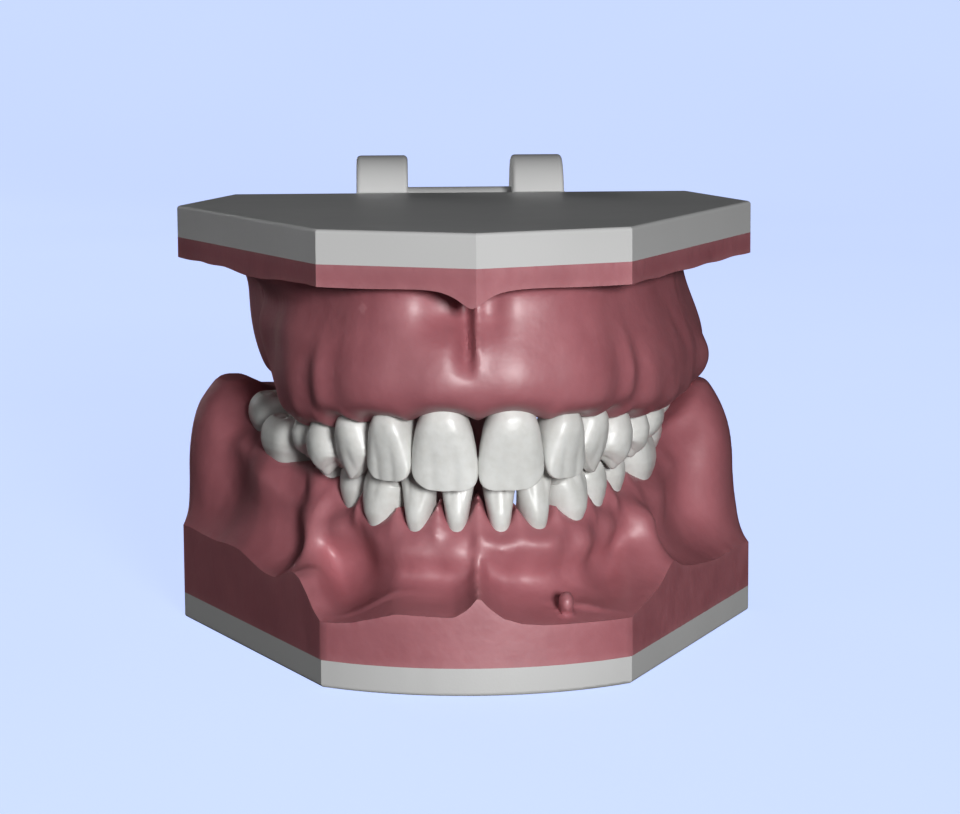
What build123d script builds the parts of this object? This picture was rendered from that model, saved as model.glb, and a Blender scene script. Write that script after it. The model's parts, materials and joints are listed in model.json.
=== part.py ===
"""Hinged dental articulator: two trimmed base plates carry an upper and a lower gum block with
28 separate teeth, and hook clips on the upper plate turn on a bar held by a rear post.

Frame: millimetres, +Z up, -Y towards the incisors, +X towards the wearer's left side.
The origin is on the lower plate's underside, at the middle of the object's width and depth.
"""
from math import atan2, cos, degrees, radians, sin
from build123d import *
import os

# ---------------------------------------------------------------- driving dimensions
HALF_WIDTH = 42.0            # widest corner of both plates
CORNER_Y = 7.1               # where that corner stands
FRONT_HALF = 20.75           # front corner of both plates
FRONT_Y = -40.15
POINT_Y = -49.1              # tip of the upper plate's pointed front
APEX_Y = -46.6               # middle of the lower plate's rounded front
BACK_HALF = 35.0             # back corner of both plates
BACK_Y = 31.5

LOWER_PLATE = 3.75           # thickness
UPPER_TOP = 61.2             # height of the upper plate's top face
UPPER_PLATE = 4.6
UPPER_UNDER = UPPER_TOP - UPPER_PLATE
UPPER_RIM = 2.95             # flat trimmed edge of the upper gum block
UPPER_RIM_Z = UPPER_UNDER - UPPER_RIM
LOWER_RIM_Z = 9.2            # top of the lower gum block's flat trimmed edge

HINGE_Y = 40.5               # axis of the hinge bar
HINGE_Z = 57.9
BAR_R = 3.6
CLIP_R = 8.6                 # outside of the hook clips
CLIP_BORE = BAR_R + 0.05     # running clearance on the bar
CLIP_IN = 8.1                # inner and outer faces of each clip
CLIP_OUT = 16.1
CLIP_END = 65.0              # hook ends, in degrees from the top towards the back
CLIP_LIP = 225.0
MOUTH_REACH = 14.0           # size of the wedge that opens the hook, past its outside

POST_HALF = 7.6
POST_FRONT = 34.0
POST_BACK = 48.9
POST_SEAT_BACK = 60.3        # height of the wall behind the bar
TAIL_HALF = 12.0             # tail of the lower plate, under the post
FOOT_HALF = 11.6
FOOT_HEIGHT = 5.0
RIB_FRONT = 38.3             # rib under each end of the bar: the hook ends come up to it
RIB_BACK = 40.3
RIB_FOOT = 42.0
CORE_WIDE = 4.6              # moulded hollows in the back of the post
CORE_TALL = 38.0
CORE_MID_Z = 31.0
CORE_FRONT = 38.0
CORE_WEB = 0.8               # half of the web between the two hollows

TOOTH_GAP = 0.2              # free space between neighbours
PEG_R = 1.9                  # round peg under each crown
PEG_SHARE = 0.33             # largest peg radius, as a share of a narrow tooth's width
PEG_DEPTH = 9.0
PEG_IN_CROWN = 1.0           # how far the peg runs up into its crown
PEG_IN_SEAT = 0.5            # and how far its hole runs up into the crown's seat
CROWN_SUNK = 1.2             # crown below the gum line
SCREW_R = 1.0                # tooth screws
SCREW_HEAD_R = 1.9
SCREW_HEAD = 1.6
SCREW_BITE = 5.0             # length of screw inside a root

MAGNET_R, MAGNET_T = 9.0, 2.0
KEEPER_R, KEEPER_T = 9.0, 1.0
DOWEL_R, DOWEL_IN_PLATE, DOWEL_IN_GUM = 1.5, 2.2, 3.0
DOWEL_X, DOWEL_Y = 24.0, 12.0
MAGNET_Y = 6.0
PLATE_SCREW_R, PLATE_SCREW_HEAD_R, PLATE_SCREW_SINK = 1.5, 2.9, 1.6
TAIL_LONG = 17.6             # tail behind the lower plate's back edge
POST_SCREWS = [(-9.3, 37.6), (9.3, 37.6), (-9.3, 45.4), (9.3, 45.4)]
CLIP_MID = (CLIP_IN + CLIP_OUT) / 2
TONGUE_WIDE, TONGUE_LONG, TONGUE_THICK = 7.6, 7.5, 2.2
CLIP_SCREW_R, CLIP_HEAD_R, CLIP_SINK, CLIP_SCREW_LONG = 0.9, 1.8, 1.0, 3.6
CLIP_SCREWS = [(-14.0, 27.6), (-10.2, 27.6), (10.2, 27.6), (14.0, 27.6)]
BAR_SCREW_X = 4.2

# gum ridges: height, reach to the right, reach to the left, front
UPPER_LEVELS = [(UPPER_RIM_Z + 0.5, 33.6, 33.2, -46.0), (50.0, 30.6, 31.4, -43.4),
                (42.0, 29.4, 32.8, -44.6), (32.0, 25.6, 29.8, -41.2)]
LOWER_LEVELS = [(LOWER_RIM_Z - 0.5, 37.0, 37.0, -43.5), (14.0, 33.0, 33.0, -39.6),
                (21.0, 31.5, 30.0, -39.5), (32.0, 30.5, 28.5, -38.0)]
UPPER_CHEEK_Y = 2.0          # where the straight cheeks give way to the curved front
LOWER_CHEEK_Y = 4.0
# hollows inside the ridges: height, half width, front
PALATE = [(30.0, 14.6, -33.5), (38.0, 13.4, -31.0), (46.0, 7.0, -20.0)]
TONGUE_SPACE = [(9.5, 11.0, -26.0), (20.0, 14.6, -30.5), (40.0, 17.0, -33.5)]
# swellings of the lower gum: centre x, half width, top; then share of height and of size
SWELLINGS = [(-35.6, 5.6, 34.8), (35.4, 4.5, 33.8)]
SWELLING_LEVELS = [(0.0, 1.0), (0.55, 1.0), (0.86, 0.78), (1.0, 0.32)]
SWELLING_Y, SWELLING_LEAN, SWELLING_HALF_LONG = 15.5, 1.5, 11.5

# ---------------------------------------------------------------- tooth chart
# class: width along the arch, depth across it
UPPER_SIZES = {
    "central_incisor": (8.5, 7.0), "lateral_incisor": (6.5, 6.2), "canine": (7.0, 7.8),
    "first_premolar": (6.9, 8.2), "second_premolar": (6.6, 8.2),
    "first_molar": (9.9, 9.8), "second_molar": (9.4, 9.6),
}
LOWER_SIZES = {
    "central_incisor": (4.7, 5.8), "lateral_incisor": (5.0, 6.0), "canine": (6.2, 7.0),
    "first_premolar": (6.6, 7.3), "second_premolar": (6.8, 7.7),
    "first_molar": (10.6, 9.8), "second_molar": (10.2, 9.4),
}
CLASSES = list(UPPER_SIZES)
# centre x and y, height of the gum line, height of the edge or cusp tip; from the midline back
CHART = {
    ("upper", "left"): [
        (4.56, -39.0, 37.1, 26.5), (11.3, -36.2, 36.1, 27.6), (14.5, -30.5, 36.0, 27.2),
        (18.2, -24.5, 34.5, 26.6), (21.0, -18.2, 33.7, 27.2), (22.9, -9.6, 34.0, 28.4),
        (24.9, 0.1, 34.6, 29.8)],
    ("upper", "right"): [
        (-3.9, -39.0, 37.1, 26.5), (-10.8, -36.4, 36.2, 27.5), (-14.9, -31.0, 35.5, 26.7),
        (-18.8, -25.0, 33.6, 26.3), (-20.9, -18.2, 33.2, 27.4), (-21.2, -9.8, 34.4, 31.4),
        (-21.8, 0.1, 36.4, 33.6)],
    ("lower", "left"): [
        (3.1, -35.8, 20.7, 29.4), (7.7, -34.8, 20.9, 29.5), (12.0, -31.5, 21.5, 29.8),
        (14.9, -26.0, 22.2, 29.8), (17.8, -19.3, 23.1, 30.0), (21.7, -9.9, 23.6, 30.5),
        (23.8, 0.9, 26.4, 32.3)],
    ("lower", "right"): [
        (-2.2, -35.8, 21.0, 29.4), (-7.2, -34.8, 21.0, 29.5), (-11.6, -31.4, 21.2, 29.8),
        (-14.7, -25.4, 22.3, 29.9), (-18.0, -18.9, 23.0, 30.2), (-24.5, -10.0, 27.2, 33.1),
        (-27.1, 0.5, 29.6, 35.0)],
}
# sections from the gum line to the tip: share of height, width, depth, outward shift, corner
CROWNS = {
    "incisor": [(0.0, 0.70, 0.90, 0.00, 0.72), (0.35, 0.92, 0.84, 0.03, 0.74),
                (0.75, 1.00, 0.50, 0.16, 0.78), (1.0, 0.93, 0.22, 0.27, 0.84)],
    "canine": [(0.0, 0.72, 0.92, 0.00, 0.72), (0.4, 1.00, 0.90, 0.03, 0.72),
               (0.75, 0.84, 0.58, 0.12, 0.72), (1.0, 0.26, 0.20, 0.20, 0.72)],
    "premolar": [(0.0, 0.74, 0.86, 0.00, 0.72), (0.4, 1.00, 1.00, 0.00, 0.73),
                 (0.8, 0.88, 0.82, 0.00, 0.73), (1.0, 0.66, 0.62, 0.00, 0.73)],
    "molar": [(0.0, 0.84, 0.88, 0.00, 0.78), (0.4, 1.00, 1.00, 0.00, 0.79),
              (0.85, 0.92, 0.88, 0.00, 0.79), (1.0, 0.80, 0.74, 0.00, 0.79)],
}
CUSP_OUT = 0.30              # outer cusp line, as a share of the depth
UNDER_OUT = 0.8              # where the inner tooth's outer slope starts, in mm
BITE_GAP = 0.4               # free height between facing fossa and cusp


def tooth_name(jaw, side, index):
    """Name of a tooth's node."""
    return f"{jaw}_{side}_{CLASSES[index]}"


def tooth_turn(jaw, side, index):
    """Direction of the arch at a tooth, in degrees, from its neighbours' centres."""
    row = CHART[jaw, side]
    other = CHART[jaw, "left" if side == "right" else "right"]
    before = row[index - 1] if index else other[0]
    after = row[index + 1] if index + 1 < len(row) else row[index]
    before = row[index - 1] if after is row[index] else before
    if side == "right":
        before, after = after, before
    return degrees(atan2(after[1] - before[1], after[0] - before[0]))


def tooth_plane(jaw, side, index, z):
    """Local frame of a tooth at a height: x along the arch, y outward from the mouth."""
    x, y, _, _ = CHART[jaw, side][index]
    turn = radians(tooth_turn(jaw, side, index))
    return Plane(origin=(x, y, z), x_dir=(-cos(turn), -sin(turn), 0), z_dir=(0, 0, 1))


def ring(width, depth, shift, corner):
    """Closed smooth section, its corners fuller than an ellipse's as corner grows from 0.71."""
    a, b = width / 2, depth / 2
    points = [(a, 0), (corner * a, corner * b), (0, b), (-corner * a, corner * b),
              (-a, 0), (-corner * a, -corner * b), (0, -b), (corner * a, -corner * b)]
    Spline(*[(px, py + shift) for px, py in points], periodic=True)


def tooth_size(jaw, index):
    """Width along the arch, less the gap to the neighbours, and depth across it."""
    width, depth = (UPPER_SIZES if jaw == "upper" else LOWER_SIZES)[CLASSES[index]]
    return width - TOOTH_GAP, depth


def peg_radius(jaw, index):
    """Round peg, thinner where the crown above it is narrow."""
    return min(PEG_R, PEG_SHARE * tooth_size(jaw, index)[0])


def make_tooth(jaw, side, index):
    """One tooth: crown, peg, and the threaded hole for the screw that draws it into its socket."""
    name = CLASSES[index]
    width, depth = tooth_size(jaw, index)
    _, _, neck, tip = CHART[jaw, side][index]
    up = 1 if tip > neck else -1
    crown = CROWNS[name.split("_")[-1]]
    sections = [(neck + s * (tip - neck), w, d, o, c) for s, w, d, o, c in crown]
    sections[0] = (neck - up * CROWN_SUNK, *sections[0][1:])
    sections.sort()
    with BuildPart() as tooth:
        for z, w, d, shift, corner in sections:
            with BuildSketch(tooth_plane(jaw, side, index, z)):
                with BuildLine():
                    ring(w * width, d * depth, shift * depth, corner)
                make_face()
        loft()
        sockets[jaw, side, index] = tooth.part
        if index > 1:
            bite(jaw, side, index, depth, width, tip, up)
        # peg and screw hole
        peg_end = neck - up * PEG_DEPTH
        with BuildSketch(tooth_plane(jaw, side, index, peg_end)):
            Circle(peg_radius(jaw, index))
        extrude(amount=up * (PEG_DEPTH - CROWN_SUNK + PEG_IN_CROWN))
        with BuildSketch(tooth_plane(jaw, side, index, peg_end)):
            Circle(SCREW_R)
        extrude(amount=up * SCREW_BITE, mode=Mode.SUBTRACT)
    tooth.part.label = tooth_name(jaw, side, index)
    return tooth.part


def bite(jaw, side, index, depth, width, tip, up):
    """Shapes the biting face of a canine or back tooth: the outer tooth of a pair gets a wall
    outside a sloping fossa, and the inner tooth's outer edge slopes away under it."""
    facing = CHART["lower" if jaw == "upper" else "upper", side][index]
    outer = abs(CHART[jaw, side][index][0]) > abs(facing[0])
    centre = CHART[jaw, side][index]
    frame = tooth_plane(jaw, side, index, 0)
    across = Plane(origin=(centre[0], centre[1], 0), x_dir=frame.y_dir, z_dir=frame.x_dir)
    with BuildSketch(across) as profile:
        with BuildLine():
            if outer:
                fossa = facing[3] + (BITE_GAP if jaw == "upper" else -BITE_GAP)
                drop = abs(fossa - tip)
                top = CUSP_OUT * depth
                Polyline((top + 1, tip + up), (top, tip), (top - drop, fossa), (-depth, fossa),
                         (-depth, tip + up), close=True)
            else:
                start = UNDER_OUT
                Polyline((start - 1, tip + up), (start, tip), (depth, tip - up * (depth - start)),
                         (depth, tip + up), close=True)
        make_face()
    extrude(profile.sketch, amount=width, both=True, mode=Mode.SUBTRACT)


def plate_outline(front, rounded):
    """Trimmed outline of a plate, with a pointed or a rounded front."""
    Polyline((-FRONT_HALF, FRONT_Y), (-HALF_WIDTH, CORNER_Y), (-BACK_HALF, BACK_Y),
             (BACK_HALF, BACK_Y), (HALF_WIDTH, CORNER_Y), (FRONT_HALF, FRONT_Y))
    if rounded:
        ThreePointArc((-FRONT_HALF, FRONT_Y), (0, front), (FRONT_HALF, FRONT_Y))
    else:
        Polyline((-FRONT_HALF, FRONT_Y), (0, front), (FRONT_HALF, FRONT_Y))


def arch_section(z, right, left, front, side_y):
    """One level of a gum ridge: straight cheeks, then two quarter ellipses to the front."""
    with BuildSketch(Plane.XY.offset(z)) as level:
        with BuildLine():
            Line((-right, BACK_Y), (-right, side_y))
            EllipticalCenterArc((0, side_y), right, side_y - front, 180, arc_size=90)
            EllipticalCenterArc((0, side_y), left, side_y - front, 270, arc_size=90)
            Line((left, side_y), (left, BACK_Y))
            Line((left, BACK_Y), (-right, BACK_Y))
        make_face()
    return level.sketch


def hollow_section(z, half, front):
    """One level of the hollow inside a gum ridge, open to the back."""
    with BuildSketch(Plane.XY.offset(z)) as level:
        with BuildLine():
            Line((-half, BACK_Y + 5), (-half, -8))
            EllipticalCenterArc((0, -8), half, -8 - front, 180, arc_size=180)
            Line((half, -8), (half, BACK_Y + 5))
            Line((half, BACK_Y + 5), (-half, BACK_Y + 5))
        make_face()
    return level.sketch


def disc_cut(places, radius, z, depth):
    """Cuts a round hole of the same size at each place."""
    with BuildSketch(Plane.XY.offset(z)) as discs:
        with Locations(*places):
            Circle(radius)
    extrude(discs.sketch, amount=depth, mode=Mode.SUBTRACT)


# ---------------------------------------------------------------- teeth
sockets = {}
teeth = {}
for jaw_side in CHART:
    for number in range(len(CLASSES)):
        teeth[(*jaw_side, number)] = make_tooth(*jaw_side, number)


def cut_sockets(jaw, face_z, away):
    """Cuts each tooth's place: screw pocket and tunnel, peg hole, and the crown's seat."""
    for j, side, n in teeth:
        if j != jaw:
            continue
        x, y, neck, tip = CHART[j, side][n]
        up = 1 if tip > neck else -1
        peg_end = neck - up * PEG_DEPTH
        disc_cut([(x, y)], SCREW_HEAD_R, face_z, away * SCREW_HEAD)
        disc_cut([(x, y)], SCREW_R, face_z, peg_end - face_z)
        disc_cut([(x, y)], peg_radius(j, n), peg_end, up * (PEG_DEPTH - CROWN_SUNK + PEG_IN_SEAT))
        add(sockets[j, side, n], mode=Mode.SUBTRACT)


def tooth_screws(jaw, face_z, away):
    """All the tooth screws of one jaw: a pan head and a shank that ends inside the root."""
    with BuildPart() as screws:
        for j, side, n in teeth:
            if j != jaw:
                continue
            x, y, neck, tip = CHART[j, side][n]
            end = neck + (1 if tip > neck else -1) * (SCREW_BITE - 0.3 - PEG_DEPTH)
            with BuildSketch(Plane.XY.offset(face_z)):
                with Locations((x, y)):
                    Circle(SCREW_HEAD_R)
            extrude(amount=away * SCREW_HEAD)
            with BuildSketch(Plane.XY.offset(face_z)):
                with Locations((x, y)):
                    Circle(SCREW_R)
            extrude(amount=end - face_z)
            with BuildSketch(Plane.XY.offset(face_z)):
                with Locations((x, y)):
                    Rectangle(2.2 * SCREW_R, 0.5)
            extrude(amount=away * 0.7, mode=Mode.SUBTRACT)
    screws.part.label = f"{jaw}_tooth_screws"
    return screws.part


def mount_pockets(face_z, into, disc_r, disc_t, dowel_depth):
    """Round pocket for a magnet or its keeper, and two dowel holes, cut into a face."""
    disc_cut([(0, MAGNET_Y)], disc_r, face_z, into * disc_t)
    disc_cut([(-DOWEL_X, DOWEL_Y), (DOWEL_X, DOWEL_Y)], DOWEL_R, face_z, into * dowel_depth)


# ---------------------------------------------------------------- upper gum block
with BuildPart() as upper_gum:
    for z, right, left, front in UPPER_LEVELS:
        add(arch_section(z, right, left, front, UPPER_CHEEK_Y))
    loft()
    # the ridge's crest plane climbs towards the front and the right
    crest = Plane(origin=(0, -39, 37.0), x_dir=(1, 0, -0.04), z_dir=(0.04, 0.055, 1))
    split(bisect_by=crest, keep=Keep.TOP)
    with BuildSketch(Plane.XY.offset(UPPER_RIM_Z)):
        with BuildLine():
            plate_outline(POINT_Y, rounded=False)
        make_face()
    extrude(amount=UPPER_RIM)
    # palate, open to the back
    for z, half, front in PALATE:
        add(hollow_section(z, half, front))
    loft(mode=Mode.SUBTRACT)
    mount_pockets(UPPER_UNDER, -1, KEEPER_R, KEEPER_T, DOWEL_IN_GUM)
    cut_sockets("upper", UPPER_UNDER, -1)
upper_gum.part.label = "upper_gum"

# ---------------------------------------------------------------- lower gum block
with BuildPart() as lower_gum:
    for z, right, left, front in LOWER_LEVELS:
        add(arch_section(z, right, left, front, LOWER_CHEEK_Y))
    loft()
    # the ridge's crest plane rises to the back and to the right side
    crest = Plane(origin=(0, -36, 21.2), x_dir=(1, 0, -0.055), z_dir=(0.055, -0.13, 1))
    split(bisect_by=crest, keep=Keep.BOTTOM)
    # swellings behind the last molars
    for center_x, half_x, top in SWELLINGS:
        for share, grow in SWELLING_LEVELS:
            z = LOWER_LEVELS[0][0] + share * (top - LOWER_LEVELS[0][0])
            with BuildSketch(Plane.XY.offset(z)):
                with Locations((center_x, SWELLING_Y + SWELLING_LEAN * share)):
                    Ellipse(half_x * grow, SWELLING_HALF_LONG * grow)
        loft()
    with BuildSketch(Plane.XY.offset(LOWER_PLATE)):
        with BuildLine():
            plate_outline(APEX_Y, rounded=True)
        make_face()
    extrude(amount=LOWER_RIM_Z - LOWER_PLATE)
    # tongue space, open to the back
    for z, half, front in TONGUE_SPACE:
        add(hollow_section(z, half, front))
    loft(mode=Mode.SUBTRACT)
    mount_pockets(LOWER_PLATE, 1, KEEPER_R, KEEPER_T, DOWEL_IN_GUM)
    cut_sockets("lower", LOWER_PLATE, 1)
lower_gum.part.label = "lower_gum"

# ---------------------------------------------------------------- upper plate
with BuildPart() as upper_plate:
    with BuildSketch(Plane.XY.offset(UPPER_UNDER)):
        with BuildLine():
            plate_outline(POINT_Y, rounded=False)
        make_face()
    extrude(amount=UPPER_PLATE)
    fillet(upper_plate.faces().sort_by(Axis.Z)[-1].edges(), 0.5)
    mount_pockets(UPPER_UNDER, 1, MAGNET_R, MAGNET_T, DOWEL_IN_PLATE)
    # pockets for the clip tongues, and their screw holes
    with BuildSketch(Plane.XY.offset(UPPER_UNDER)):
        with Locations((-CLIP_MID, BACK_Y), (CLIP_MID, BACK_Y)):
            Rectangle(TONGUE_WIDE, 2 * TONGUE_LONG)
    extrude(amount=TONGUE_THICK, mode=Mode.SUBTRACT)
    disc_cut(CLIP_SCREWS, CLIP_SCREW_R, UPPER_UNDER, CLIP_SCREW_LONG)
upper_plate.part.label = "upper_plate"

# ---------------------------------------------------------------- lower plate
with BuildPart() as lower_plate:
    with BuildSketch():
        with BuildLine():
            plate_outline(APEX_Y, rounded=True)
        make_face()
        with Locations((0, BACK_Y)):
            Rectangle(2 * TAIL_HALF, 2 * TAIL_LONG)
    extrude(amount=LOWER_PLATE)
    fillet(lower_plate.edges().filter_by(Axis.Z).sort_by(Axis.Y)[-2:], 2.0)
    fillet(lower_plate.faces().sort_by(Axis.Z)[0].edges(), 0.5)
    mount_pockets(LOWER_PLATE, -1, MAGNET_R, MAGNET_T, DOWEL_IN_PLATE)
    # countersunk holes for the post's screws
    with Locations(*[(x, y, 0) for x, y in POST_SCREWS]):
        Cone(PLATE_SCREW_HEAD_R, PLATE_SCREW_R, PLATE_SCREW_SINK,
             align=(Align.CENTER, Align.CENTER, Align.MIN), mode=Mode.SUBTRACT)
    disc_cut(POST_SCREWS, PLATE_SCREW_R, 0, LOWER_PLATE)
lower_plate.part.label = "lower_plate"

# ---------------------------------------------------------------- hinge post
with BuildPart() as hinge_post:
    with BuildSketch(Plane.XY.offset(LOWER_PLATE)):
        with Locations((0, (POST_FRONT + POST_BACK) / 2)):
            RectangleRounded(2 * FOOT_HALF, POST_BACK - POST_FRONT, 1.6)
    extrude(amount=FOOT_HEIGHT)
    with BuildSketch(Plane.YZ) as side:
        with BuildLine():
            Polyline((POST_FRONT, LOWER_PLATE), (POST_FRONT, HINGE_Z),
                     (HINGE_Y, HINGE_Z), (HINGE_Y, POST_SEAT_BACK), (POST_BACK, POST_SEAT_BACK),
                     (POST_BACK, LOWER_PLATE), close=True)
        make_face()
    extrude(side.sketch, amount=POST_HALF, both=True)
    # soft front corners
    fillet(hinge_post.edges().filter_by(Axis.Z).filter_by(
        lambda edge: edge.center().Z > 12 and edge.center().Y < POST_FRONT + 1), 0.8)
    # ribs under the ends of the bar
    with BuildSketch(Plane.XZ.offset(-RIB_BACK)) as rib:
        with BuildLine():
            Polyline((-CLIP_OUT + 0.2, HINGE_Z - 1), (-CLIP_OUT + 0.2, RIB_FOOT + 6), (0, RIB_FOOT - 4),
                     (CLIP_OUT - 0.2, RIB_FOOT + 6), (CLIP_OUT - 0.2, HINGE_Z - 1), close=True)
        make_face()
    extrude(rib.sketch, amount=RIB_BACK - RIB_FRONT)
    # seat of the bar
    with BuildSketch(Plane.YZ) as seat:
        with Locations((HINGE_Y, HINGE_Z)):
            Circle(BAR_R)
        with Locations((HINGE_Y, HINGE_Z + 5)):
            Rectangle(2 * BAR_R, 10)
    extrude(seat.sketch, amount=CLIP_OUT, both=True, mode=Mode.SUBTRACT)
    # moulded hollows in the back
    with BuildSketch(Plane.XZ.offset(-POST_BACK)) as cores:
        with Locations((-CORE_WIDE / 2 - CORE_WEB, CORE_MID_Z),
                       (CORE_WIDE / 2 + CORE_WEB, CORE_MID_Z)):
            RectangleRounded(CORE_WIDE, CORE_TALL, 1.2)
    extrude(cores.sketch, amount=POST_BACK - CORE_FRONT, mode=Mode.SUBTRACT)
    disc_cut(POST_SCREWS, PLATE_SCREW_R, LOWER_PLATE, FOOT_HEIGHT - 0.6)
    # countersunk holes for the bar's screws, from behind
    with BuildSketch(Plane.XZ.offset(-POST_BACK)) as bar_holes:
        with Locations((-BAR_SCREW_X, HINGE_Z), (BAR_SCREW_X, HINGE_Z)):
            Circle(CLIP_SCREW_R)
    extrude(bar_holes.sketch, amount=POST_BACK - HINGE_Y, mode=Mode.SUBTRACT)
    for place in (-BAR_SCREW_X, BAR_SCREW_X):
        with Locations(Location((place, POST_BACK, HINGE_Z), (90, 0, 0))):
            Cone(CLIP_HEAD_R, CLIP_SCREW_R, CLIP_SINK,
                 align=(Align.CENTER, Align.CENTER, Align.MIN), mode=Mode.SUBTRACT)
hinge_post.part.label = "hinge_post"

# ---------------------------------------------------------------- hinge bar
with BuildPart() as hinge_bar:
    with BuildSketch(Plane.YZ.offset(-CLIP_OUT)) as round_bar:
        with Locations((HINGE_Y, HINGE_Z)):
            Circle(BAR_R)
    extrude(round_bar.sketch, amount=2 * CLIP_OUT)
    chamfer(hinge_bar.edges().filter_by(GeomType.CIRCLE), 0.4)
    with BuildSketch(Plane.XZ.offset(-HINGE_Y - BAR_R)) as bar_threads:
        with Locations((-BAR_SCREW_X, HINGE_Z), (BAR_SCREW_X, HINGE_Z)):
            Circle(CLIP_SCREW_R)
    extrude(bar_threads.sketch, amount=BAR_R + 1.6, mode=Mode.SUBTRACT)
hinge_bar.part.label = "hinge_bar"


# ---------------------------------------------------------------- hook clips
def make_clip(side, name):
    """Hook that wraps the bar from behind its top, over the front, to its lower front."""
    inner = side * CLIP_IN
    with BuildPart() as clip:
        with BuildSketch(Plane.YZ.offset(inner)) as hook:
            with Locations((HINGE_Y, HINGE_Z)):
                Circle(CLIP_R)
            # web to the plate's back edge
            with BuildLine():
                Polyline((BACK_Y, UPPER_UNDER), (BACK_Y, UPPER_TOP - 0.6), (BACK_Y + 0.6, UPPER_TOP),
                         (HINGE_Y, UPPER_TOP), (HINGE_Y, UPPER_UNDER), close=True)
            make_face()
            with Locations((HINGE_Y, HINGE_Z)):
                Circle(CLIP_BORE, mode=Mode.SUBTRACT)
            # mouth of the hook, open to the back and below
            with BuildLine():
                steps = [CLIP_END + k * (CLIP_LIP - CLIP_END) / 4 for k in range(5)]
                rim = [(HINGE_Y + MOUTH_REACH * sin(radians(a)),
                        HINGE_Z + MOUTH_REACH * cos(radians(a))) for a in steps]
                Polyline((HINGE_Y, HINGE_Z), *rim, close=True)
            make_face(mode=Mode.SUBTRACT)
        extrude(hook.sketch, amount=side * (CLIP_OUT - CLIP_IN))
        fillet(clip.edges().filter_by(GeomType.CIRCLE).filter_by(
            lambda edge: edge.radius > CLIP_R - 0.1), 0.7)
        # tongue in the plate's underside
        with BuildSketch(Plane.XY.offset(UPPER_UNDER)) as tongue:
            with Locations((side * CLIP_MID, BACK_Y - TONGUE_LONG / 2 + 0.5)):
                Rectangle(TONGUE_WIDE, TONGUE_LONG + 1)
        extrude(tongue.sketch, amount=TONGUE_THICK)
        places = [place for place in CLIP_SCREWS if place[0] * side > 0]
        disc_cut(places, CLIP_SCREW_R, UPPER_UNDER, TONGUE_THICK)
        with Locations(*[(x, y, UPPER_UNDER) for x, y in places]):
            Cone(CLIP_HEAD_R, CLIP_SCREW_R, CLIP_SINK,
                 align=(Align.CENTER, Align.CENTER, Align.MIN), mode=Mode.SUBTRACT)
    clip.part.label = name
    return clip.part


hinge_clip_left = make_clip(1, "hinge_clip_left")
hinge_clip_right = make_clip(-1, "hinge_clip_right")


# ---------------------------------------------------------------- screws, magnets, dowels
def sunk_screws(places, head_r, shank_r, sink, length, name):
    """Countersunk screws with a cross slot, each at a placed frame whose z runs down the shank."""
    with BuildPart() as screws:
        with Locations(*places):
            Cone(head_r, shank_r, sink, align=(Align.CENTER, Align.CENTER, Align.MIN))
            Cylinder(shank_r, length, align=(Align.CENTER, Align.CENTER, Align.MIN))
            Box(1.2 * head_r, 0.5, 0.6, align=(Align.CENTER, Align.CENTER, Align.MIN),
                mode=Mode.SUBTRACT)
            Box(0.5, 1.2 * head_r, 0.6, align=(Align.CENTER, Align.CENTER, Align.MIN),
                mode=Mode.SUBTRACT)
    screws.part.label = name
    return screws.part


post_screws = sunk_screws([Location((x, y, 0)) for x, y in POST_SCREWS], PLATE_SCREW_HEAD_R,
                          PLATE_SCREW_R, PLATE_SCREW_SINK, LOWER_PLATE + FOOT_HEIGHT - 1.0,
                          "post_screws")
clip_screws = sunk_screws([Location((x, y, UPPER_UNDER)) for x, y in CLIP_SCREWS], CLIP_HEAD_R,
                          CLIP_SCREW_R, CLIP_SINK, CLIP_SCREW_LONG - 0.2, "clip_screws")
bar_screws = sunk_screws(
    [Location((x, POST_BACK, HINGE_Z), (90, 0, 0)) for x in (-BAR_SCREW_X, BAR_SCREW_X)],
    CLIP_HEAD_R, CLIP_SCREW_R, CLIP_SINK, POST_BACK - HINGE_Y + 1.4, "hinge_bar_screws")


def disc_node(places, radius, z, height, name):
    """Round pieces of one size, with broken edges: a magnet, a keeper disc or dowel pins."""
    with BuildPart() as node:
        with BuildSketch(Plane.XY.offset(z)) as discs:
            with Locations(*places):
                Circle(radius)
        extrude(discs.sketch, amount=height)
        chamfer(node.edges().filter_by(GeomType.CIRCLE), 0.2)
    node.part.label = name
    return node.part


hidden = []
for jaw, face_z, into_gum in (("upper", UPPER_UNDER, -1), ("lower", LOWER_PLATE, 1)):
    magnet_z = face_z if into_gum < 0 else face_z - MAGNET_T
    keeper_z = face_z if into_gum > 0 else face_z - KEEPER_T
    dowel_z = face_z - (DOWEL_IN_GUM if into_gum < 0 else DOWEL_IN_PLATE)
    dowels = [(-DOWEL_X, DOWEL_Y), (DOWEL_X, DOWEL_Y)]
    hidden.append(disc_node([(0, MAGNET_Y)], MAGNET_R, magnet_z, MAGNET_T, f"{jaw}_magnet"))
    hidden.append(disc_node([(0, MAGNET_Y)], KEEPER_R, keeper_z, KEEPER_T, f"{jaw}_keeper_disc"))
    hidden.append(disc_node(dowels, DOWEL_R, dowel_z, DOWEL_IN_PLATE + DOWEL_IN_GUM,
                            f"{jaw}_dowel_pins"))
    hidden.append(tooth_screws(jaw, face_z, into_gum))

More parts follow.
